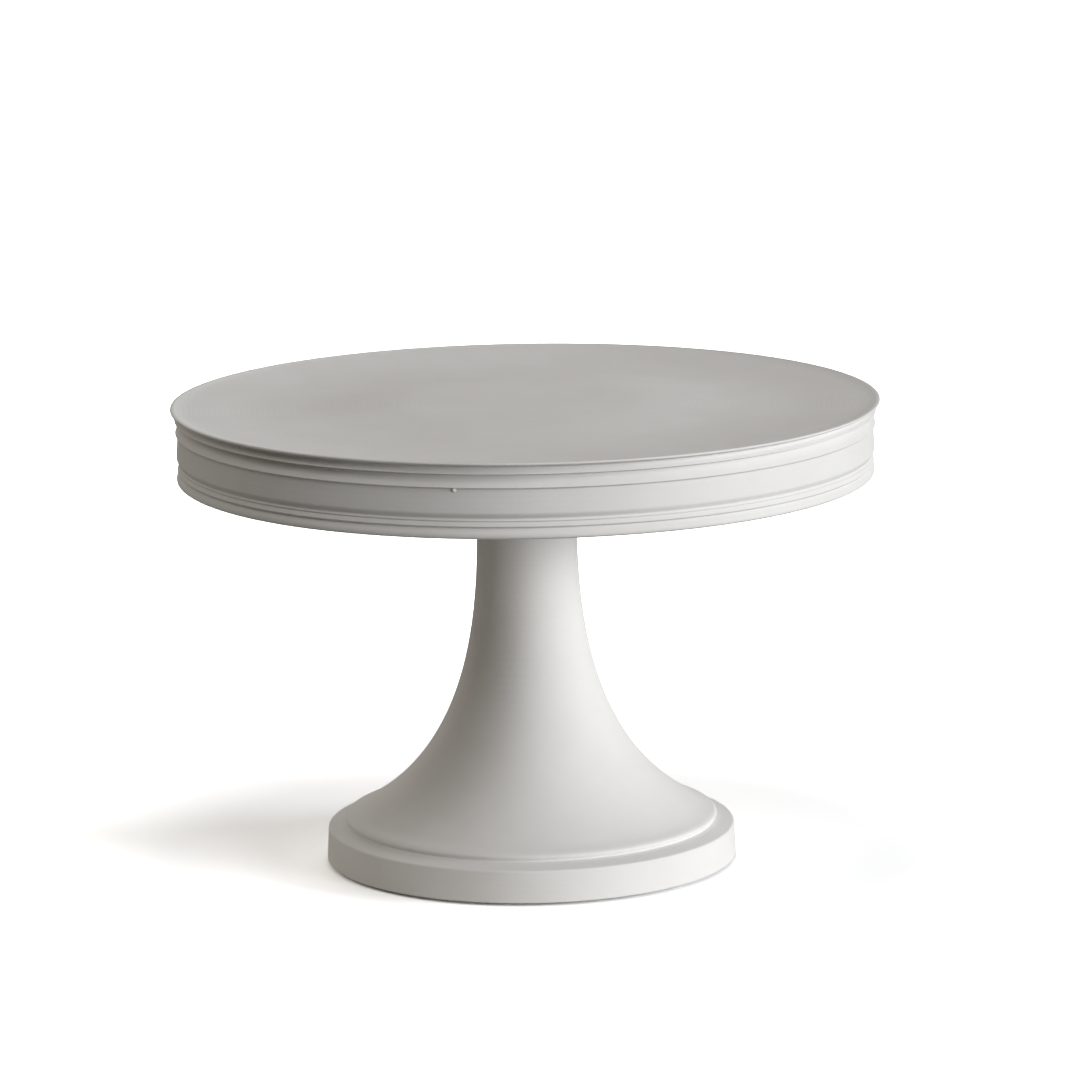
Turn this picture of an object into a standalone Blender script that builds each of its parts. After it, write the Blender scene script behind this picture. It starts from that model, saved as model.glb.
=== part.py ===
"""Pedestal cake stand: a skirted round plate bolted onto a hollow trumpet pedestal.

Metres, +Z up. The origin is on the stand's centre line, at table level.
Profiles are written in millimetres as (radius, height) and turned about Z.
"""

import math

import bpy

MM = 0.001
GAP = 0.3

# Plate
PLATE_RADIUS = 152.5
STAND_HEIGHT = 201.5
LIP_NOSE = 0.7
LIP_LINE = STAND_HEIGHT - LIP_NOSE
RAISED_DISC_RADIUS = 54.0
RAISED_DISC_TOP = 201.0
FIELD_INNER_RADIUS = 90.0
FIELD_OUTER_RADIUS = 118.0
FIELD_TOP = 198.9
RIM_RISE_RADIUS = 147.0
RIM_RISE_TOP = 200.8
PLATE_UNDERSIDE = 192.4
UNDERSIDE_CHAMFER = 4.0
APRON_BOTTOM = 169.3
APRON_INNER_RADIUS = 141.5
APRON_INNER_CHAMFER = 1.5
BOSS_RADIUS = 38.0
BOSS_FACE = 176.0
REGISTER_RADIUS = 25.6
REGISTER_CEILING = 179.0
INSERT_HOLE_RADIUS = 6.8
INSERT_HOLE_CEILING = 191.5
BOSS_CHAMFER = 1.0

# Turned coves and beads down the apron, as (inset from the lip, height)
APRON_BEADS = (
    (3.3, 199.0),
    (1.7, 196.6),
    (4.0, 195.8),
    (2.0, 190.9),
    (3.6, 190.2),
    (2.4, 180.5),
    (3.7, 178.5),
    (2.6, 174.8),
    (3.7, 174.0),
    (2.3, 171.6),
    (2.4, 170.2),
    (5.1, APRON_BOTTOM),
)

# Pedestal
FOOT_CLEARANCE = 1.3
FOOT_RADIUS = 89.0
FOOT_TOP_RADIUS = 88.4
FOOT_EDGE_ROUND = 1.0
FOOT_CHAMFER = 0.8
LEDGE_INNER = 17.4
LEDGE_OUTER = 15.6
RIM_RADIUS = 80.8
RIM_ROUND = 3.2
FLARE = ((75.7, 22.0), (27.2, 48.0), (21.6, 103.8), (21.6, 150.0))
PEDESTAL_WALL = 6.5
FOOT_BORE_RADIUS = 74.0
WEB_CORNER = 1.0
FLANGE_RADIUS = 34.0
FLANGE_FACE = 174.3
FLANGE_EDGE = 3.0
FLANGE_UNDERSIDE = ((5.0, 9.0), (9.8, 16.0))
SPIGOT_RADIUS = 25.0
SPIGOT_CHAMFER = 0.6
SPIGOT_TOP = REGISTER_CEILING - GAP
WEB_UNDERSIDE = 164.0
BOLT_HOLE_RADIUS = 4.6

# M8 clamping hardware
THREAD_RADIUS = 4.0
THREAD_CHAMFER = 0.8
BOLT_LENGTH = 30.0
HEAD_ACROSS_FLATS = 13.0
HEAD_HEIGHT = 5.3
HEAD_WASHER_FACE = 0.4
HEAD_WASHER_FACE_RADIUS = 6.2
WASHER_BORE_RADIUS = 4.4
FLAT_WASHER_RADIUS = 12.0
FLAT_WASHER_THICKNESS = 1.6
RUBBER_WASHER_RADIUS = 12.6
RUBBER_WASHER_THICKNESS = 1.5
FLAT_WASHER_CHAMFER = 0.2
INSERT_RADIUS = 6.5
INSERT_CHAMFER = 0.4
INSERT_BORE_RADIUS = 4.3
GASKET_INNER_RADIUS = 26.2
GASKET_OUTER_RADIUS = 33.4

# Bumpers under the foot
BUMPER_COUNT = 4
BUMPER_RADIUS = 5.5
BUMPER_RING_RADIUS = 81.5
BUMPER_ROUND = 0.3

# Facets round the axis
WIDE_STEPS = 64
STEM_STEPS = 48
SMALL_STEPS = 24

# Segments down the flare
FLARE_STEPS = 10

# Colour (red, green, blue), metallic, roughness
MATTE_CERAMIC = ((0.80, 0.79, 0.77), 0.0, 0.62)
BRASS = ((0.72, 0.53, 0.25), 1.0, 0.35)
ZINC_STEEL = ((0.62, 0.63, 0.64), 1.0, 0.32)
CORK = ((0.55, 0.38, 0.22), 0.0, 0.85)
BLACK_RUBBER = ((0.03, 0.03, 0.03), 0.0, 0.8)
SILICONE = ((0.70, 0.70, 0.68), 0.0, 0.45)


def clear_scene():
    for thing in list(bpy.data.objects):
        bpy.data.objects.remove(thing, do_unlink=True)


def new_collection(name):
    collection = bpy.data.collections.new(name)
    bpy.context.scene.collection.children.link(collection)
    return collection


def new_material(name, look):
    colour, metallic, roughness = look
    material = bpy.data.materials.new(name)
    material.use_nodes = True
    shader = material.node_tree.nodes["Principled BSDF"]
    shader.inputs["Base Color"].default_value = (*colour, 1.0)
    shader.inputs["Metallic"].default_value = metallic
    shader.inputs["Roughness"].default_value = roughness
    return material


def arc(centre, radius, start, end, steps):
    """Points of a round from start to end, in degrees anticlockwise from +radius."""
    angles = [math.radians(start + (end - start) * i / steps) for i in range(steps + 1)]
    return [(centre[0] + radius * math.cos(a), centre[1] + radius * math.sin(a)) for a in angles]


def cubic(handles, steps):
    """Points and unit tangents along a cubic Bezier curve."""
    points = []
    for i in range(steps + 1):
        t = i / steps
        s = 1.0 - t
        weights = (s**3, 3 * s * s * t, 3 * s * t * t, t**3)
        slopes = (-3 * s * s, 3 * s * s - 6 * s * t, 6 * s * t - 3 * t * t, 3 * t * t)
        point = [sum(w * h[k] for w, h in zip(weights, handles)) for k in (0, 1)]
        slope = [sum(w * h[k] for w, h in zip(slopes, handles)) for k in (0, 1)]
        length = math.hypot(*slope)
        points.append((*point, slope[0] / length, slope[1] / length))
    return points


def turn(name, profile, steps, look, collection, closed):
    """A turned piece: the profile, in mm, runs down its outer side. Closed profiles make rings."""
    mesh = bpy.data.meshes.new(name)
    count = len(profile)
    edges = [(i, i + 1) for i in range(count - 1)]
    if closed:
        edges.append((count - 1, 0))
    mesh.from_pydata([(r * MM, 0.0, z * MM) for r, z in profile], edges, [])
    piece = bpy.data.objects.new(name, mesh)
    collection.objects.link(piece)
    screw = piece.modifiers.new("turn", "SCREW")
    screw.axis = "Z"
    screw.steps = steps
    screw.render_steps = steps
    screw.use_smooth_shade = True
    screw.use_merge_vertices = True
    screw.merge_threshold = 0.00001
    mesh.materials.append(new_material(name, look))
    return piece


def ring(name, inner, outer, bottom, top, look, collection, chamfer=0.0):
    """A washer-like ring with its outer corners cut by the chamfer."""
    profile = [(inner, top), (outer - chamfer, top)]
    if chamfer:
        profile.append((outer, top - chamfer))
        profile.append((outer, bottom + chamfer))
    profile.append((outer - chamfer, bottom))
    profile.append((inner, bottom))
    return turn(name, profile, SMALL_STEPS, look, collection, closed=True)


def plate_top():
    """From the middle of the raised disc out to the lip."""
    return [
        (0.0, RAISED_DISC_TOP),
        (RAISED_DISC_RADIUS, RAISED_DISC_TOP),
        (FIELD_INNER_RADIUS, FIELD_TOP),
        (FIELD_OUTER_RADIUS, FIELD_TOP),
        (RIM_RISE_RADIUS, RIM_RISE_TOP),
    ]


def plate_apron():
    """Lip, then the turned coves and beads down to the apron's lower edge."""
    nose = arc((PLATE_RADIUS - LIP_NOSE, LIP_LINE), LIP_NOSE, 90, -90, 4)
    beads = [(PLATE_RADIUS - inset, height) for inset, height in APRON_BEADS]
    return nose + beads


def plate_underside():
    """Inside of the apron, under the top, and the central boss with its register and blind hole."""
    return [
        (APRON_INNER_RADIUS + APRON_INNER_CHAMFER, APRON_BOTTOM),
        (APRON_INNER_RADIUS, APRON_BOTTOM + APRON_INNER_CHAMFER),
        (APRON_INNER_RADIUS, PLATE_UNDERSIDE - UNDERSIDE_CHAMFER),
        (APRON_INNER_RADIUS - UNDERSIDE_CHAMFER, PLATE_UNDERSIDE),
        (BOSS_RADIUS + UNDERSIDE_CHAMFER, PLATE_UNDERSIDE),
        (BOSS_RADIUS, PLATE_UNDERSIDE - UNDERSIDE_CHAMFER),
        (BOSS_RADIUS, BOSS_FACE + BOSS_CHAMFER),
        (BOSS_RADIUS - BOSS_CHAMFER, BOSS_FACE),
        (REGISTER_RADIUS, BOSS_FACE),
        (REGISTER_RADIUS, REGISTER_CEILING),
        (INSERT_HOLE_RADIUS, REGISTER_CEILING),
        (INSERT_HOLE_RADIUS, INSERT_HOLE_CEILING),
        (0.0, INSERT_HOLE_CEILING),
    ]


def make_plate(collection):
    profile = plate_top() + plate_apron() + plate_underside()
    return turn("plate", profile, WIDE_STEPS, MATTE_CERAMIC, collection, closed=False)


def flare_outside():
    """Trumpet stem seen from outside, from the top of the flare down."""
    return [(r, z) for r, z, _, _ in reversed(cubic(FLARE, FLARE_STEPS))]


def flare_inside():
    """The trumpet stem's bore, one wall thickness inside it, from the bottom up."""
    return [
        (r - PEDESTAL_WALL * along_z, z + PEDESTAL_WALL * along_r)
        for r, z, along_r, along_z in cubic(FLARE, FLARE_STEPS)
    ]


def pedestal_head():
    """Spigot, then the flange that carries the plate, then its underside."""
    underside = [(FLANGE_RADIUS - inset, FLANGE_FACE - drop) for inset, drop in FLANGE_UNDERSIDE]
    return [
        (BOLT_HOLE_RADIUS, SPIGOT_TOP),
        (SPIGOT_RADIUS - SPIGOT_CHAMFER, SPIGOT_TOP),
        (SPIGOT_RADIUS, SPIGOT_TOP - SPIGOT_CHAMFER),
        (SPIGOT_RADIUS, FLANGE_FACE),
        (FLANGE_RADIUS, FLANGE_FACE),
        (FLANGE_RADIUS, FLANGE_FACE - FLANGE_EDGE),
        *underside,
    ]


def pedestal_foot():
    """Rolled rim of the trumpet, the sloping ledge below it and the round foot disc."""
    rim_centre = (RIM_RADIUS - RIM_ROUND, LEDGE_INNER)
    edge_centre = (FOOT_TOP_RADIUS - FOOT_EDGE_ROUND, LEDGE_OUTER - FOOT_EDGE_ROUND)
    return [
        *arc(rim_centre, RIM_ROUND, 62, 6, 3),
        (RIM_RADIUS, LEDGE_INNER),
        *arc(edge_centre, FOOT_EDGE_ROUND, 71, 0, 2),
        (FOOT_RADIUS, FOOT_CLEARANCE + FOOT_CHAMFER),
        (FOOT_RADIUS - FOOT_CHAMFER, FOOT_CLEARANCE),
        (FOOT_BORE_RADIUS, FOOT_CLEARANCE),
    ]


def make_pedestal(collection):
    bore = flare_inside()
    bore_top = bore[-1][0]
    web = [
        (bore_top, WEB_UNDERSIDE - WEB_CORNER),
        (bore_top - WEB_CORNER, WEB_UNDERSIDE),
        (BOLT_HOLE_RADIUS, WEB_UNDERSIDE),
    ]
    profile = pedestal_head() + flare_outside() + pedestal_foot() + bore + web
    return turn("pedestal", profile, STEM_STEPS, MATTE_CERAMIC, collection, closed=True)


def make_insert(collection):
    """Threaded insert bonded in the boss; its thread is a plain bore that clears the bolt."""
    bottom = REGISTER_CEILING + GAP
    top = INSERT_HOLE_CEILING - GAP
    return ring(
        "threaded_insert",
        INSERT_BORE_RADIUS,
        INSERT_RADIUS,
        bottom,
        top,
        BRASS,
        collection,
        INSERT_CHAMFER,
    )


def make_gasket(collection):
    bottom = FLANGE_FACE + GAP
    top = BOSS_FACE - GAP
    return ring("joint_gasket", GASKET_INNER_RADIUS, GASKET_OUTER_RADIUS, bottom, top, CORK, collection)


def make_washers(collection):
    """Rubber washer against the ceramic, then the flat washer. Returns the flat washer's lower face."""
    rubber_top = WEB_UNDERSIDE - GAP
    rubber_bottom = rubber_top - RUBBER_WASHER_THICKNESS
    flat_top = rubber_bottom - GAP
    flat_bottom = flat_top - FLAT_WASHER_THICKNESS
    ring(
        "rubber_washer",
        WASHER_BORE_RADIUS,
        RUBBER_WASHER_RADIUS,
        rubber_bottom,
        rubber_top,
        BLACK_RUBBER,
        collection,
    )
    ring(
        "flat_washer",
        WASHER_BORE_RADIUS,
        FLAT_WASHER_RADIUS,
        flat_bottom,
        flat_top,
        ZINC_STEEL,
        collection,
        FLAT_WASHER_CHAMFER,
    )
    return flat_bottom


def make_bolt(head_top, collection, cutters):
    """Hexagon bolt, head down. The hexagon is joined to the turned shank."""
    tip = head_top + BOLT_LENGTH
    head_bottom = head_top - HEAD_HEIGHT
    shank = [
        (0.0, tip),
        (THREAD_RADIUS - THREAD_CHAMFER, tip),
        (THREAD_RADIUS, tip - THREAD_CHAMFER),
        (THREAD_RADIUS, head_top),
        (HEAD_WASHER_FACE_RADIUS, head_top),
        (HEAD_WASHER_FACE_RADIUS, head_top - 2 * HEAD_WASHER_FACE),
        (0.0, head_top - 2 * HEAD_WASHER_FACE),
    ]
    bolt = turn("clamp_bolt", shank, SMALL_STEPS, ZINC_STEEL, collection, closed=False)
    depth = HEAD_HEIGHT - HEAD_WASHER_FACE
    bpy.ops.mesh.primitive_cylinder_add(
        vertices=6,
        radius=HEAD_ACROSS_FLATS / math.sqrt(3) * MM,
        depth=depth * MM,
        location=(0.0, 0.0, (head_bottom + depth / 2) * MM),
    )
    hexagon = bpy.context.object
    hexagon.name = "hexagon"
    for holder in list(hexagon.users_collection):
        holder.objects.unlink(hexagon)
    cutters.objects.link(hexagon)
    hexagon.hide_render = True
    hexagon.display_type = "WIRE"
    joined = bolt.modifiers.new("hexagon", "BOOLEAN")
    joined.operation = "UNION"
    joined.solver = "EXACT"
    joined.object = hexagon
    return bolt


def make_bumper(index, collection):
    """One adhesive bumper of the set under the foot, at an odd multiple of 45 degrees."""
    name = f"foot_bumper_{index + 1}"
    angle = 2 * math.pi * (index + 0.5) / BUMPER_COUNT
    height = FOOT_CLEARANCE - GAP
    bpy.ops.mesh.primitive_cylinder_add(
        vertices=SMALL_STEPS,
        radius=BUMPER_RADIUS * MM,
        depth=height * MM,
        location=(
            BUMPER_RING_RADIUS * math.cos(angle) * MM,
            BUMPER_RING_RADIUS * math.sin(angle) * MM,
            height / 2 * MM,
        ),
    )
    bumper = bpy.context.object
    bumper.name = name
    bumper.data.name = name
    for holder in list(bumper.users_collection):
        holder.objects.unlink(bumper)
    collection.objects.link(bumper)
    bevel = bumper.modifiers.new("round", "BEVEL")
    bevel.width = BUMPER_ROUND * MM
    bevel.segments = 1
    bumper.data.materials.append(new_material(name, SILICONE))
    return bumper


def main():
    clear_scene()
    stand = new_collection("cake_stand")
    cutters = new_collection("cutters")
    make_plate(stand)
    make_insert(stand)
    make_pedestal(stand)
    make_gasket(stand)
    head_top = make_washers(stand) - GAP
    make_bolt(head_top, stand, cutters)
    for index in range(BUMPER_COUNT):
        make_bumper(index, stand)


main()
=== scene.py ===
"""Looks of the pedestal cake stand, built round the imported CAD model.

Outlines are (radius, height) in millimetres, turned about Z, and their meshes are in metres.
Lengths in node materials, and of the floor and camera, are in metres. The driving sizes come
from the CAD model's boxes.
"""

import math

import bpy
from mathutils import Matrix, Vector, noise


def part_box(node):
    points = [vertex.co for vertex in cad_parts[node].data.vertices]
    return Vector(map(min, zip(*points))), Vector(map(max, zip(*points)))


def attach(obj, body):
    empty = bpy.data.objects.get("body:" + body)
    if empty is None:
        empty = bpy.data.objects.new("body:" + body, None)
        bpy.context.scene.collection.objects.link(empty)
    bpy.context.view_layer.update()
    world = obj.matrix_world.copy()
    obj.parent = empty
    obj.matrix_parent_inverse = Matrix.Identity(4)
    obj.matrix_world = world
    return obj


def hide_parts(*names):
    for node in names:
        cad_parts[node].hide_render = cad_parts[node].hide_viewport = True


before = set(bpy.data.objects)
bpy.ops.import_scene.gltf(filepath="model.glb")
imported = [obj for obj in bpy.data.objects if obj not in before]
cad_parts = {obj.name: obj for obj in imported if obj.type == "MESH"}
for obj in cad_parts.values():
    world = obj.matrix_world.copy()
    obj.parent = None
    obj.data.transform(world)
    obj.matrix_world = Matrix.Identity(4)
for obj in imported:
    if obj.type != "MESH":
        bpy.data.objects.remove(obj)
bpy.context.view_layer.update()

MM = 0.001
TAU = 2 * math.pi

# Facets round the axis, steps in each rounded corner, and the longest steps along an outline
AROUND = 360
AROUND_SMALL = 96
CORNER_STEPS = 7
LONG_STEP = 3.0
FINE_STEP = 0.25


# ---------------------------------------------------------------- outlines and turned meshes


def box_mm(node):
    """Low and high corners of a CAD node, in millimetres."""
    low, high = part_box(node)
    return low / MM, high / MM


def rounded(outline):
    """(radius, height, reach) corners to a smooth outline.

    A corner is rounded from reach before it to reach after it, or to just short of the middle of
    a shorter side. The two ends, and a corner with a reach of 0, stay as they are.
    """
    points = []
    last = len(outline) - 1
    for i, (r, z, reach) in enumerate(outline):
        if reach <= 0 or i in (0, last):
            points.append((r, z))
            continue
        corner = Vector((r, z))
        before = Vector(outline[i - 1][:2]) - corner
        after = Vector(outline[i + 1][:2]) - corner
        start = corner + before.normalized() * min(reach, before.length * 0.49)
        end = corner + after.normalized() * min(reach, after.length * 0.49)
        for k in range(CORNER_STEPS + 1):
            t = k / CORNER_STEPS
            point = start * (1 - t) ** 2 + corner * 2 * t * (1 - t) + end * t * t
            points.append((point.x, point.y))
    return points


def spaced(points, fine=lambda r, z: False):
    """The same outline with its straight stretches divided, so that shading and wobble stay even.

    A stretch with an end where fine(radius, height) is true gets the fine step.
    """
    out = [points[0]]
    for (r0, z0), (r1, z1) in zip(points, points[1:]):
        step = FINE_STEP if fine(r0, z0) or fine(r1, z1) else LONG_STEP
        parts = max(1, math.ceil(math.hypot(r1 - r0, z1 - z0) / step))
        for k in range(1, parts + 1):
            out.append((r0 + (r1 - r0) * k / parts, z0 + (z1 - z0) * k / parts))
    return out


def cubic(handles, steps):
    """Points and unit tangents along a cubic Bezier curve."""
    found = []
    for i in range(steps + 1):
        t = i / steps
        s = 1 - t
        weights = (s**3, 3 * s * s * t, 3 * s * t * t, t**3)
        slopes = (-3 * s * s, 3 * s * s - 6 * s * t, 6 * s * t - 3 * t * t, 3 * t * t)
        point = [sum(w * h[k] for w, h in zip(weights, handles)) for k in (0, 1)]
        slope = [sum(w * h[k] for w, h in zip(slopes, handles)) for k in (0, 1)]
        length = math.hypot(*slope)
        found.append((*point, slope[0] / length, slope[1] / length))
    return found


def turned(name, outline, around, ring=False, shape=None, extra_angles=()):
    """A turned mesh. With ring, the outline also closes from its last point to its first.

    shape(angle, radius, height) may move each point, for hexagons, threads and hand wobble.
    extra_angles are facet edges besides the even ones, in radians from +X.
    """
    shape = shape or (lambda angle, r, z: (r, z))
    angles = sorted([TAU * k / around for k in range(around)] + list(extra_angles))
    around = len(angles)
    vertices = []
    rows = []
    for r, z in outline:
        if r < 1e-6:
            rows.append([len(vertices)])
            vertices.append((0.0, 0.0, shape(0.0, 0.0, z)[1] * MM))
            continue
        row = []
        for angle in angles:
            rr, zz = shape(angle, r, z)
            row.append(len(vertices))
            vertices.append((rr * math.cos(angle) * MM, rr * math.sin(angle) * MM, zz * MM))
        rows.append(row)
    faces = []
    pairs = list(zip(rows, rows[1:]))
    if ring:
        pairs.append((rows[-1], rows[0]))
    for upper, lower in pairs:
        for k in range(around):
            n = (k + 1) % around
            if len(upper) == 1:
                faces.append((upper[0], lower[k], lower[n]))
            elif len(lower) == 1:
                faces.append((upper[k], lower[0], upper[n]))
            else:
                faces.append((upper[k], lower[k], lower[n], upper[n]))
    mesh = bpy.data.meshes.new(name)
    mesh.from_pydata(vertices, [], faces)
    mesh.validate()
    mesh.shade_smooth()
    piece = bpy.data.objects.new(name, mesh)
    bpy.context.scene.collection.objects.link(piece)
    return piece


def flat_shading_kept(piece):
    """Large flat faces keep their own normals next to small rounds."""
    weighted = piece.modifiers.new("normals", "WEIGHTED_NORMAL")
    weighted.mode = "FACE_AREA"
    weighted.weight = 50


def dress(piece, body, node, material):
    """Gives a piece its material, the body that it rides on and the CAD node that it replaces."""
    piece.data.materials.append(material)
    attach(piece, body)
    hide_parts(node)


WOBBLE_FULL = 100.0


def hand_wobble(radial, vertical, seed):
    """A slow, smooth departure from a true circle, as a thrown and fired piece has.

    It fades to nothing from WOBBLE_FULL inwards to the axis.
    """

    def shape(angle, r, z):
        place = Vector((math.cos(angle) * 0.9, math.sin(angle) * 0.9, seed + z * 0.012))
        share = min(1.0, r / WOBBLE_FULL)
        rr = r + radial * share * noise.noise(place)
        zz = z + vertical * share * noise.noise(place + Vector((7.3, 1.7, 4.1)))
        return rr, zz

    return shape


# ---------------------------------------------------------------- materials


class Nodes:
    """Short calls for building a node tree."""

    def __init__(self, name):
        self.material = bpy.data.materials.new(name)
        self.material.use_nodes = True
        self.tree = self.material.node_tree
        self.shader = self.tree.nodes["Principled BSDF"]
        self.place = self.add("ShaderNodeTexCoord").outputs["Object"]
        self.axes = self.add("ShaderNodeSeparateXYZ")
        self.link(self.place, self.axes.inputs[0])

    def add(self, kind, **settings):
        node = self.tree.nodes.new(kind)
        for key, value in settings.items():
            setattr(node, key, value)
        return node

    def link(self, source, target):
        self.tree.links.new(source, target)

    def feed(self, socket, value):
        if hasattr(value, "links"):
            self.link(value, socket)
        else:
            socket.default_value = value

    def math(self, operation, a, b=0.0, clamp=False):
        node = self.add("ShaderNodeMath", operation=operation, use_clamp=clamp)
        self.feed(node.inputs[0], a)
        self.feed(node.inputs[1], b)
        return node.outputs[0]

    def noise(self, scale, detail=3.0, rough=0.55, place=None):
        node = self.add("ShaderNodeTexNoise")
        self.link(place or self.place, node.inputs["Vector"])
        node.inputs["Scale"].default_value = scale
        node.inputs["Detail"].default_value = detail
        node.inputs["Roughness"].default_value = rough
        return node.outputs["Fac"]

    def cells(self, scale, output="Distance", feature="F1"):
        """Cells about 1 / scale metres across: the distance in each, or a colour for each."""
        node = self.add("ShaderNodeTexVoronoi", feature=feature)
        self.link(self.place, node.inputs["Vector"])
        node.inputs["Scale"].default_value = scale
        return node.outputs[output]

    def spread(self, value, low, high, to_low, to_high):
        """value from low..high to to_low..to_high, held at the ends."""
        node = self.add("ShaderNodeMapRange", clamp=True)
        self.feed(node.inputs["Value"], value)
        node.inputs["From Min"].default_value = low
        node.inputs["From Max"].default_value = high
        node.inputs["To Min"].default_value = to_low
        node.inputs["To Max"].default_value = to_high
        return node.outputs["Result"]

    def mix(self, share, a, b, blend="MIX"):
        node = self.add("ShaderNodeMix", data_type="RGBA", blend_type=blend)
        self.feed(node.inputs["Factor"], share)
        for socket, value in ((node.inputs["A"], a), (node.inputs["B"], b)):
            if isinstance(value, tuple):
                value = (*value, 1.0)
            self.feed(socket, value)
        return node.outputs["Result"]

    def grey(self, value):
        """A colour with the value in all three channels."""
        node = self.add("ShaderNodeCombineColor")
        for channel in node.inputs:
            self.link(value, channel)
        return node.outputs[0]

    def bump(self, height, distance, strength=1.0, under=None):
        node = self.add("ShaderNodeBump")
        node.inputs["Distance"].default_value = distance
        node.inputs["Strength"].default_value = strength
        self.link(height, node.inputs["Height"])
        if under is not None:
            self.link(under, node.inputs["Normal"])
        return node.outputs["Normal"]

    def radius(self):
        """Distance from the stand's axis."""
        across = self.math("POWER", self.axes.outputs[0], 2)
        along = self.math("POWER", self.axes.outputs[1], 2)
        return self.math("SQRT", self.math("ADD", across, along))

    def height(self):
        return self.axes.outputs[2]

    def camera_height(self):
        """Height of the camera above the floor: the camera's own origin, taken to world space."""
        place = self.add("ShaderNodeVectorTransform", vector_type="POINT")
        place.convert_from = "CAMERA"
        place.convert_to = "WORLD"
        place.inputs[0].default_value = (0.0, 0.0, 0.0)
        split = self.add("ShaderNodeSeparateXYZ")
        self.link(place.outputs[0], split.inputs[0])
        return split.outputs[2]

    def finish(self, colour, roughness, normal=None, metallic=0.0):
        self.feed(self.shader.inputs["Base Color"], colour)
        self.feed(self.shader.inputs["Roughness"], roughness)
        self.feed(self.shader.inputs["Metallic"], metallic)
        if normal is not None:
            self.link(normal, self.shader.inputs["Normal"])
        return self.material


# Two tones of the clay, its rubbed edges, the dust and painted shade in its grooves and corners, and its
# specks
CERAMIC = (0.78, 0.775, 0.76)
CERAMIC_DEEP = (0.745, 0.735, 0.715)
CERAMIC_WORN = (0.84, 0.835, 0.825)
CERAMIC_DUST_AND_SHADE = (0.70, 0.685, 0.66)
CERAMIC_SPECK = (0.55, 0.53, 0.50)
RING_WAVES = 2600


def ceramic_colour(n):
    cloud = n.spread(n.noise(14, 4, 0.6), 0.35, 0.65, 0, 1)
    colour = n.mix(cloud, CERAMIC_DEEP, CERAMIC)
    speck = n.spread(n.cells(420), 0.03, 0.10, 0.35, 0)
    colour = n.mix(speck, colour, CERAMIC_SPECK)
    edge = n.add("ShaderNodeNewGeometry").outputs["Pointiness"]
    patches = n.spread(n.noise(60), 0.4, 0.6, 0.3, 1)
    rubbed = n.math("MULTIPLY", n.spread(edge, 0.52, 0.60, 0, 0.7), patches)
    colour = n.mix(rubbed, colour, CERAMIC_WORN)
    # Grooves and inside corners are darkened: partly dust, partly painted shade
    return n.mix(n.spread(edge, 0.40, 0.485, 0.5, 0), colour, CERAMIC_DUST_AND_SHADE)


def ceramic_surface(n):
    """Turning rings, then coarse and fine grain, then pinholes."""
    swirl = n.math("MULTIPLY", n.math("ADD", n.radius(), n.height()), RING_WAVES)
    drift = n.math("MULTIPLY", n.noise(25), 9)
    rings = n.math("MULTIPLY", n.math("SINE", n.math("ADD", swirl, drift)), n.noise(40))
    normal = n.bump(rings, 0.00002, 0.6)
    normal = n.bump(n.noise(220, 4, 0.7), 0.00012, 0.5, normal)
    normal = n.bump(n.noise(1900, 2, 0.6), 0.00008, 0.35, normal)
    pinholes = n.spread(n.cells(75), 0.010, 0.022, 0, 1)
    return n.bump(pinholes, 0.0004, 0.5, normal)


def ceramic(name):
    """Matte, unglazed white ceramic: mottling, rubbed edges, turning rings, grain and pinholes."""
    n = Nodes(name)
    n.shader.inputs["Specular IOR Level"].default_value = 0.15
    rough = n.spread(n.noise(90, 3, 0.6), 0.3, 0.7, 0.74, 0.90)
    return n.finish(ceramic_colour(n), rough, ceramic_surface(n))


def steel(name):
    """Zinc-plated steel: slightly blue, uneven sheen, fine scratches."""
    n = Nodes(name)
    tone = n.spread(n.noise(160, 4, 0.65), 0.35, 0.65, 0, 1)
    colour = n.mix(tone, (0.50, 0.52, 0.56), (0.68, 0.68, 0.66))
    rough = n.spread(n.noise(700, 3, 0.6), 0.3, 0.7, 0.24, 0.42)
    lines = n.math("SINE", n.math("MULTIPLY", n.radius(), 16000))
    normal = n.bump(lines, 0.000006, 0.5)
    normal = n.bump(n.noise(1400, 2), 0.00002, 0.4, normal)
    return n.finish(colour, rough, normal, 1.0)


def brass(name):
    """Turned brass, dulled in patches."""
    n = Nodes(name)
    tone = n.spread(n.noise(220, 4, 0.6), 0.35, 0.65, 0, 1)
    colour = n.mix(tone, (0.58, 0.40, 0.17), (0.78, 0.58, 0.28))
    rough = n.spread(n.noise(500, 3), 0.3, 0.7, 0.25, 0.45)
    return n.finish(colour, rough, n.bump(n.noise(1200, 2), 0.00002, 0.5), 1.0)


CORK_GRAINS = 900


def cork(name):
    """Pressed cork: packed granules in several browns."""
    n = Nodes(name)
    pick = n.add("ShaderNodeSeparateColor")
    n.link(n.cells(CORK_GRAINS, "Color"), pick.inputs[0])
    colour = n.mix(pick.outputs[0], (0.36, 0.22, 0.11), (0.62, 0.44, 0.27))
    seam = n.spread(n.cells(CORK_GRAINS, feature="DISTANCE_TO_EDGE"), 0.0, 0.12, 0, 1)
    colour = n.mix(seam, (0.16, 0.09, 0.05), colour)
    normal = n.bump(seam, 0.00012, 0.8)
    return n.finish(colour, 0.85, n.bump(n.noise(3000, 2), 0.00005, 0.5, normal))


def rubber(name):
    """Black rubber with a greyish bloom."""
    n = Nodes(name)
    bloom = n.spread(n.noise(120, 4), 0.4, 0.7, 0, 1)
    colour = n.mix(bloom, (0.018, 0.018, 0.019), (0.055, 0.053, 0.05))
    rough = n.spread(n.noise(300, 3), 0.3, 0.7, 0.6, 0.85)
    return n.finish(colour, rough, n.bump(n.noise(1500, 3), 0.00005, 0.6))


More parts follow.
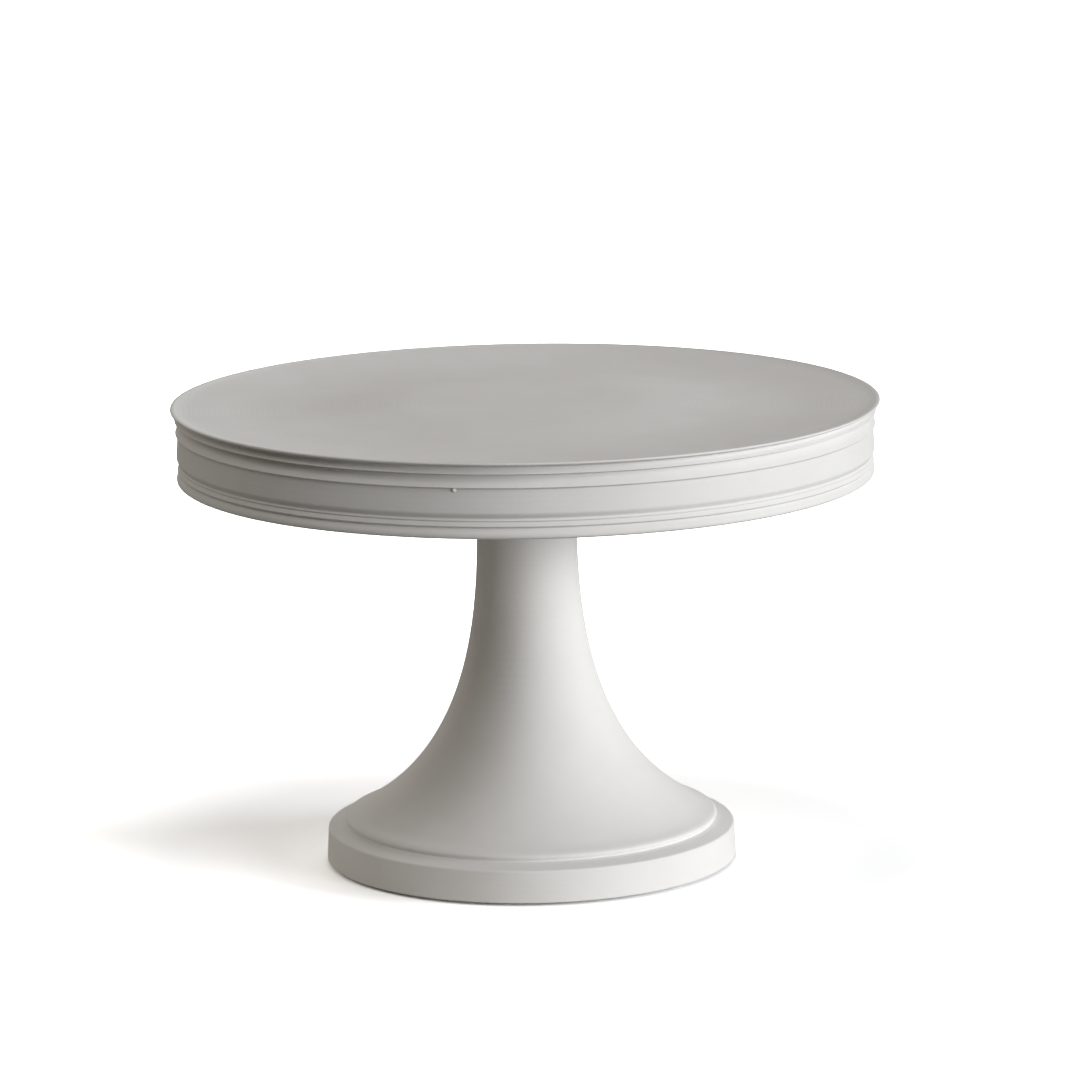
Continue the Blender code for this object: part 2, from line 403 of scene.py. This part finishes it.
def silicone(name):
    """Milky bumper silicone."""
    n = Nodes(name)
    cloud = n.spread(n.noise(180, 3), 0.35, 0.65, 0, 1)
    colour = n.mix(cloud, (0.60, 0.60, 0.58), (0.72, 0.72, 0.70))
    n.shader.inputs["Transmission Weight"].default_value = 0.35
    rough = n.spread(n.noise(400, 3), 0.3, 0.7, 0.35, 0.5)
    return n.finish(colour, rough, n.bump(n.noise(900, 2), 0.00003, 0.4))


# ---------------------------------------------------------------- plate

PLATE_LOW, PLATE_HIGH = box_mm("plate")
LIP_RADIUS = PLATE_HIGH.x
LIP_TOP = PLATE_HIGH.z
APRON_FOOT = PLATE_LOW.z
LIP_THICK = 1.4
DISC_TOP = LIP_TOP - 0.5
FIELD_TOP = LIP_TOP - 2.6
BOSS_FACE = box_mm("joint_gasket")[1].z + 0.3
REGISTER_CEILING = box_mm("threaded_insert")[0].z - 0.3
INSERT_HOLE_TOP = box_mm("threaded_insert")[1].z + 0.3
PLATE_THICK = 8.6
APRON_WALL = 8.0
APRON_FACE = 3.0
DISC_RADIUS = 54
FIELD_INNER = 90
FIELD_OUTER = 118
RIM_RISE = 5.5
BOSS_RADIUS = 38.0
REGISTER_RADIUS = 25.6
INSERT_HOLE_RADIUS = 6.8

# A hard grain in the clay: its angle from +X, its height, and its own radius and rise
GRAIN_ANGLE = math.radians(270 - 11.25)
GRAIN_HEIGHT = LIP_TOP - 11.7
GRAIN_RADIUS = 1.1
GRAIN_RISE = 0.75

# Turned beads on the apron: (inset from the lip, drop below the lip line, rounding)
BEADS = (
    (3.7, 1.3, 0.5),
    (3.5, 2.8, 0.8),
    (1.65, 4.2, 0.3),
    (4.5, 5.0, 0.35),
    (4.2, 7.2, 1.6),
    (1.95, 9.9, 0.3),
    (3.0, 10.6, 0.35),
    (2.8, 14.5, 2.0),
    (2.35, 20.8, 0.8),
    (3.7, 22.8, 0.5),
    (3.1, 23.7, 0.25),
    (3.5, 24.2, 0.25),
    (2.6, 26.0, 0.3),
    (3.7, 26.8, 0.35),
    (2.3, 29.2, 1.1),
    (2.4, 30.7, 0.6),
    (3.7, 31.6, 0.6),
)


def plate_outline():
    """Top from the axis out, lip and apron down, then the underside and boss back to the axis."""
    lip_line = LIP_TOP - LIP_THICK / 2
    top = [
        (0, DISC_TOP, 0),
        (DISC_RADIUS, DISC_TOP, 8),
        (FIELD_INNER, FIELD_TOP, 10),
        (FIELD_OUTER, FIELD_TOP, 10),
        (LIP_RADIUS - RIM_RISE, LIP_TOP - 0.7, 4.0),
        (LIP_RADIUS - 1.4, LIP_TOP, 0.8),
        (LIP_RADIUS - 0.2, LIP_TOP - 0.1, 0.5),
        (LIP_RADIUS, LIP_TOP - 0.8, 0.35),
        (LIP_RADIUS - 0.9, LIP_TOP - LIP_THICK, 0.4),
    ]
    apron = [(LIP_RADIUS - inset, lip_line - drop, reach) for inset, drop, reach in BEADS]
    apron[-1] = (apron[-1][0], APRON_FOOT, apron[-1][2])
    inner = LIP_RADIUS - APRON_FACE - APRON_WALL
    ceiling = DISC_TOP - PLATE_THICK
    under = [
        (inner + 2.5, APRON_FOOT, 1.2),
        (inner, APRON_FOOT + 3.0, 2.0),
        (inner - 0.6, ceiling, 5.0),
        (BOSS_RADIUS + 8, ceiling, 4.0),
        (BOSS_RADIUS + 0.5, ceiling - 3.5, 2.5),
        (BOSS_RADIUS, BOSS_FACE, 1.0),
        (REGISTER_RADIUS, BOSS_FACE, 0.5),
        (REGISTER_RADIUS, REGISTER_CEILING, 0.3),
        (INSERT_HOLE_RADIUS, REGISTER_CEILING, 0.3),
        (INSERT_HOLE_RADIUS, INSERT_HOLE_TOP, 0.3),
        (0, INSERT_HOLE_TOP, 0),
    ]
    return spaced(rounded(top + apron + under), by_the_grain)


def by_the_grain(r, z):
    """Whether a point is on the apron's outer face, near the grain's height."""
    return r > LIP_RADIUS - 6.0 and abs(z - GRAIN_HEIGHT) < 2.5 * GRAIN_RADIUS


def with_grain(shape):
    """The same shape, with the one hard grain of clay that stands proud of the apron's front left."""

    def grained(angle, r, z):
        rr, zz = shape(angle, r, z)
        if not by_the_grain(r, z):
            return rr, zz
        gap = math.hypot((angle - GRAIN_ANGLE) * r, z - GRAIN_HEIGHT) / GRAIN_RADIUS
        return rr + GRAIN_RISE * max(0.0, 1.0 - gap * gap) ** 1.5, zz

    return grained


def angles_near_grain(steps=14):
    """Extra facets across the grain. The small offset keeps them off the plate's regular ones."""
    half = 1.5 * GRAIN_RADIUS / LIP_RADIUS
    return [GRAIN_ANGLE + half * (2 * k / steps - 1) + 1e-4 for k in range(steps + 1)]


def make_plate():
    shape = with_grain(hand_wobble(0.22, 0.18, 2.0))
    outline = plate_outline()
    piece = turned("plate_body", outline, AROUND, shape=shape, extra_angles=angles_near_grain())
    flat_shading_kept(piece)
    dress(piece, "plate", "plate", ceramic("plate_ceramic"))


# ---------------------------------------------------------------- pedestal

PEDESTAL_LOW, PEDESTAL_HIGH = box_mm("pedestal")
FOOT_RADIUS = PEDESTAL_HIGH.x
FOOT_BOTTOM = PEDESTAL_LOW.z
SPIGOT_TOP = PEDESTAL_HIGH.z
FLANGE_FACE = box_mm("joint_gasket")[0].z - 0.3
WEB_FACE = box_mm("rubber_washer")[1].z + 0.3
LEDGE_INNER = FOOT_BOTTOM + 16.1
LEDGE_OUTER = FOOT_BOTTOM + 13.8
BOLT_HOLE = 4.6
SPIGOT_RADIUS = 25.0
FLANGE_RADIUS = 34.0
FOOT_BORE = 74.0
WALL = 6.5

# Bezier handles of the trumpet's outside, from its rolled rim up to below the flange
FLARE = ((75.7, 22.0), (27.2, 48.0), (21.6, 103.8), (21.6, 150.0))
FLARE_STEPS = 70
BORE_STEPS = 40


def pedestal_outline():
    """Spigot and flange, down the outside of the trumpet, round the foot, then up the bore to the web."""
    head = [
        (BOLT_HOLE, SPIGOT_TOP, 0),
        (SPIGOT_RADIUS, SPIGOT_TOP, 0.6),
        (SPIGOT_RADIUS, FLANGE_FACE, 0.4),
        (FLANGE_RADIUS, FLANGE_FACE, 0.8),
        (FLANGE_RADIUS, FLANGE_FACE - 3.2, 1.5),
        (29.0, FLANGE_FACE - 9.0, 4.0),
        (24.0, FLANGE_FACE - 16.5, 5.0),
    ]
    foot = [
        (81.3, 19.7, 3.2),
        (79.9, LEDGE_INNER, 0.5),
        (FOOT_RADIUS - 0.7, LEDGE_OUTER, 0.8),
        (FOOT_RADIUS, FOOT_BOTTOM, 0.5),
        (FOOT_BORE, FOOT_BOTTOM, 1.2),
    ]
    outside = [(r, z) for r, z, _, _ in reversed(cubic(FLARE, FLARE_STEPS))]
    bore = cubic(FLARE, BORE_STEPS)
    inside = [(r - WALL * along_z, z + WALL * along_r) for r, z, along_r, along_z in bore]
    web = [
        (*inside[-1], 0),
        (inside[-1][0], WEB_FACE, 1.5),
        (BOLT_HOLE, WEB_FACE, 0.4),
        (BOLT_HOLE, SPIGOT_TOP, 0),
    ]
    head_points = rounded(head + [(*outside[0], 0)])
    foot_points = rounded([(*outside[-1], 0)] + foot + [(*inside[0], 0)])
    return spaced(head_points + outside[1:] + foot_points[1:] + inside[1:] + rounded(web)[1:-1])


def make_pedestal():
    outline = pedestal_outline()
    piece = turned("pedestal_body", outline, AROUND, ring=True, shape=hand_wobble(0.18, 0.0, 11.0))
    flat_shading_kept(piece)
    dress(piece, "pedestal", "pedestal", ceramic("pedestal_ceramic"))


# ---------------------------------------------------------------- joint and clamping hardware

# M8 thread
PITCH = 1.25
BOLT_RADIUS = 4.0
BOLT_GROOVE = 0.65
INSERT_BORE = 4.25
INSERT_GROOVE = 0.55
STEPS_PER_TURN = 12

WASHER_BORE = 4.4
GASKET_INNER = 26.2
HEAD_RADIUS = 6.5
INSERT_RADIUS = 6.5
SHARP = math.radians(35)


def ring_outline(inner, outer, bottom, top, soft):
    """Cross-section of a washer with rounded corners, as a closed ring."""
    middle = (inner + outer) / 2
    corners = [
        (middle, top, 0),
        (outer, top, soft),
        (outer, bottom, soft),
        (inner, bottom, soft),
        (inner, top, soft),
        (middle, top, 0),
    ]
    return rounded(corners)[:-1]


def make_ring(name, node, inner, outer, bottom, top, soft, body, material):
    piece = turned(name, ring_outline(inner, outer, bottom, top, soft), AROUND_SMALL, ring=True)
    flat_shading_kept(piece)
    dress(piece, body, node, material)


def make_gasket():
    """It fills the gap that the CAD leaves between flange and boss, but for a hair."""
    outer = box_mm("joint_gasket")[1].x
    make_ring(
        "cork_gasket",
        "joint_gasket",
        GASKET_INNER,
        outer,
        FLANGE_FACE + 0.02,
        BOSS_FACE - 0.02,
        0.25,
        "pedestal",
        cork("cork"),
    )


def make_washers(metal):
    rubber_low, rubber_high = box_mm("rubber_washer")
    flat_low, flat_high = box_mm("flat_washer")
    middle = (rubber_low.z + flat_high.z) / 2
    make_ring(
        "cushion_washer",
        "rubber_washer",
        WASHER_BORE,
        rubber_high.x,
        middle + 0.01,
        WEB_FACE - 0.02,
        0.5,
        "washers",
        rubber("black_rubber"),
    )
    make_ring(
        "steel_washer",
        "flat_washer",
        WASHER_BORE,
        flat_high.x,
        flat_low.z,
        middle - 0.01,
        0.25,
        "washers",
        metal,
    )


def thread_shape(start, stop, crest, groove):
    """A right-hand thread in a wall of radius crest, from start to stop, fading out at each end.

    Its grooves are cut towards the axis, or away from it where groove is negative.
    """

    def shape(angle, r, z):
        if abs(r - crest) > 0.01 or not start < z < stop:
            return r, z
        phase = (z / PITCH - angle / TAU) % 1.0
        tooth = min(1.0, abs(phase - 0.5) * 2 * 1.25)
        fade = min(1.0, (z - start) / PITCH, (stop - z) / PITCH)
        return r - groove * tooth * fade, z

    return shape


def bolt_shape(across, base, head_top, tip):
    """The shank's thread, and the head's six flats with both of their edges chamfered."""
    thread = thread_shape(head_top + 8.0, tip - 0.3, BOLT_RADIUS, BOLT_GROOVE)
    slope = math.tan(math.radians(60))

    def shape(angle, r, z):
        if z > head_top - 0.35 or r < 5.0:
            return thread(angle, r, z)
        if r < HEAD_RADIUS - 0.1:
            return r, z
        turn = (angle + TAU / 12) % (TAU / 6) - TAU / 12
        flat = across / math.cos(turn)
        chamfer = across - 0.15 + (min(z - base, head_top - 0.4 - z) + 0.05) * slope
        return min(flat, chamfer), z

    return shape


def bolt_outline(base, head_top, tip):
    """Tip, shank, washer face, side of the head and the shallow dish under it."""
    shank_top = tip - 0.8
    steps = round((shank_top - head_top) / PITCH * STEPS_PER_TURN)
    side = head_top - 0.4
    rows = [(0, tip), (3.2, tip), (BOLT_RADIUS, shank_top)]
    rows += [(BOLT_RADIUS, shank_top - (shank_top - head_top) * k / steps) for k in range(1, steps)]
    rows += [(BOLT_RADIUS, head_top), (6.1, head_top), (6.1, side)]
    for k in range(13):
        share = (1 - math.cos(math.pi * k / 12)) / 2
        rows.append((HEAD_RADIUS, side - (side - base) * share))
    return rows + [(5.6, base), (3.0, base + 0.12), (0, base + 0.12)]


def make_bolt(metal):
    low, high = box_mm("clamp_bolt")
    head_top = box_mm("flat_washer")[0].z - 0.02
    shape = bolt_shape((high.x - low.x) / 2, low.z, head_top, high.z)
    piece = turned("hex_bolt", bolt_outline(low.z, head_top, high.z), AROUND_SMALL, shape=shape)
    piece.data.set_sharp_from_angle(angle=SHARP)
    dress(piece, "bolt", "clamp_bolt", metal)


def insert_outline(bottom, top, steps=110):
    """Plain outside, and a bore in fine steps for its thread. The bore's ends are chamfered."""
    bore_bottom = bottom + 0.3
    length = top - bottom - 0.6
    rows = [
        (5.4, top),
        (INSERT_RADIUS - 0.3, top),
        (INSERT_RADIUS, top - 0.4),
        (INSERT_RADIUS, bottom + 0.4),
        (INSERT_RADIUS - 0.3, bottom),
        (4.7, bottom),
    ]
    rows += [(INSERT_BORE, bore_bottom + length * k / steps) for k in range(steps + 1)]
    return rows + [(4.7, top)]


def make_insert():
    low, high = box_mm("threaded_insert")
    thread = thread_shape(low.z + 0.3, high.z - 0.3, INSERT_BORE, -INSERT_GROOVE)
    outline = insert_outline(low.z, high.z)
    piece = turned("brass_insert", outline, AROUND_SMALL, ring=True, shape=thread)
    piece.data.set_sharp_from_angle(angle=SHARP)
    dress(piece, "plate", "threaded_insert", brass("brass"))


def make_bumpers():
    """Four soft pads under the foot, rounded where they meet the table."""
    material = silicone("silicone")
    for index in range(1, 5):
        node = f"foot_bumper_{index}"
        low, high = box_mm(node)
        centre = (low + high) / 2
        radius = (high.x - low.x) / 2
        outline = rounded([
            (0, FOOT_BOTTOM - 0.02, 0),
            (radius, FOOT_BOTTOM - 0.02, 0.05),
            (radius - 0.1, 0.5, 0.5),
            (radius - 1.2, 0, 0.9),
            (0, 0, 0),
        ])
        piece = turned(f"bumper_pad_{index}", outline, AROUND_SMALL)
        piece.location = (centre.x * MM, centre.y * MM, 0)
        dress(piece, "pedestal", node, material)


# ---------------------------------------------------------------- floor, light and camera

# Camera: the point that it looks at, its distance from there, and its tilt, roll and focal length
AIM = Vector((0.0056, 0.0, 0.1399))
DISTANCE = 2.542
ELEVATION = math.radians(11.08)
ROLL = math.radians(-0.87)
LENS = 196.3

# Sun lamps: azimuth from the camera's side towards +X, elevation and softness, all in degrees,
# then strength and tint. The floor shuts out the one below, unless the camera is below too.
LIGHTS = {
    "window_near": (47, 8, 25, 0.52, (1.01, 1.0, 0.99)),
    "window_far": (75, 14, 25, 0.595, (0.98, 1.0, 1.04)),
    "glow_left": (-110, 12, 50, 0.19, (1.10, 1.0, 0.86)),
    "glow_behind": (180, 20, 50, 0.30, (1.02, 1.0, 0.97)),
    "ceiling_left": (-80, 52, 45, 0.14, (1.03, 1.0, 0.95)),
    "ceiling_front": (20, 50, 45, 0.12, (1.0, 1.0, 1.0)),
    "below": (-40, -70, 60, 0.42, (1.0, 1.0, 1.0)),
}

FLOOR_HALF = 12.0

# The light that the floor throws back: its share within TABLE_NEAR of the axis and past TABLE_FAR
TABLE_NEAR = 0.25
TABLE_FAR = 0.45
BOUNCE_NEAR = 0.60
BOUNCE_FAR = 0.05
BOUNCE_TINT = (1.0, 0.97, 0.92)

# What the camera sees of the floor: nearly white within SHOWN_NEAR, wholly white past SHOWN_FAR
# The rise outward is painted light: it washes the stand's far shadow out to white.
SHOWN_NEAR = 0.16
SHOWN_FAR = 0.50
FLOOR_SHOWN = 1.93
FLOOR_FAR = 5.0
FLOOR_TINT = (0.99, 1.0, 1.015)


def floor_material():
    """Brighter to the camera than to the stand, and not there at all for a camera below it."""
    n = Nodes("floor")
    radius = n.radius()
    shown = n.grey(n.spread(radius, SHOWN_NEAR, SHOWN_FAR, FLOOR_SHOWN, FLOOR_FAR))
    bounced = n.grey(n.spread(radius, TABLE_NEAR, TABLE_FAR, BOUNCE_NEAR, BOUNCE_FAR))
    shown = n.mix(1.0, shown, FLOOR_TINT, "MULTIPLY")
    bounced = n.mix(1.0, bounced, BOUNCE_TINT, "MULTIPLY")
    seen = n.add("ShaderNodeLightPath").outputs["Is Camera Ray"]
    n.finish(n.mix(seen, bounced, shown), 0.9)
    n.shader.inputs["Specular IOR Level"].default_value = 0.0
    see_through = n.add("ShaderNodeMixShader")
    n.link(n.math("LESS_THAN", n.camera_height(), 0.0), see_through.inputs["Fac"])
    n.link(n.shader.outputs["BSDF"], see_through.inputs[1])
    n.link(n.add("ShaderNodeBsdfTransparent").outputs["BSDF"], see_through.inputs[2])
    n.link(see_through.outputs["Shader"], n.tree.nodes["Material Output"].inputs["Surface"])
    return n.material


def make_floor():
    """A plain, pale, square floor at the height that the stand rests on."""
    mesh = bpy.data.meshes.new("floor")
    corners = [(-1, -1), (1, -1), (1, 1), (-1, 1)]
    mesh.from_pydata([(x * FLOOR_HALF, y * FLOOR_HALF, 0) for x, y in corners], [], [(0, 1, 2, 3)])
    mesh.materials.append(floor_material())
    floor = bpy.data.objects.new("floor", mesh)
    bpy.context.scene.collection.objects.link(floor)


def make_lights():
    for name, (azimuth, elevation, softness, strength, tint) in LIGHTS.items():
        lamp = bpy.data.lights.new(name, "SUN")
        lamp.energy = strength * math.pi
        lamp.angle = math.radians(softness)
        lamp.color = tint
        light = bpy.data.objects.new(name, lamp)
        turn, rise = math.radians(azimuth), math.radians(elevation)
        level = Vector((math.sin(turn), -math.cos(turn), 0.0)) * math.cos(rise)
        towards = level + Vector((0.0, 0.0, math.sin(rise)))
        light.rotation_mode = "QUATERNION"
        light.rotation_quaternion = towards.to_track_quat("Z", "Y")
        bpy.context.scene.collection.objects.link(light)


def make_world():
    """No light of its own: a white surround that only the camera sees."""
    world = bpy.data.worlds.new("studio")
    bpy.context.scene.world = world
    world.use_nodes = True
    tree = world.node_tree
    path = tree.nodes.new("ShaderNodeLightPath")
    background = tree.nodes["Background"]
    background.inputs["Color"].default_value = (1.0, 1.0, 1.0, 1.0)
    tree.links.new(path.outputs["Is Camera Ray"], background.inputs["Strength"])


def make_camera():
    """The camera looks along +Y and down, a little rolled."""
    lens = bpy.data.cameras.new("camera")
    lens.sensor_width = 36.0
    lens.lens = LENS
    lens.clip_start = 0.05
    lens.clip_end = 60.0
    camera = bpy.data.objects.new("camera", lens)
    back = Vector((0.0, -math.cos(ELEVATION), math.sin(ELEVATION)))
    camera.location = AIM + back * DISTANCE
    upright = (-back).to_track_quat("-Z", "Y").to_matrix()
    camera.rotation_mode = "QUATERNION"
    camera.rotation_quaternion = (upright @ Matrix.Rotation(ROLL, 3, "Z")).to_quaternion()
    bpy.context.scene.collection.objects.link(camera)
    bpy.context.scene.camera = camera


def main():
    make_plate()
    make_pedestal()
    make_gasket()
    metal = steel("zinc_steel")
    make_washers(metal)
    make_bolt(metal)
    make_insert()
    make_bumpers()
    make_floor()
    make_lights()
    make_world()
    make_camera()
    bpy.context.scene.view_settings.view_transform = "Standard"


main()
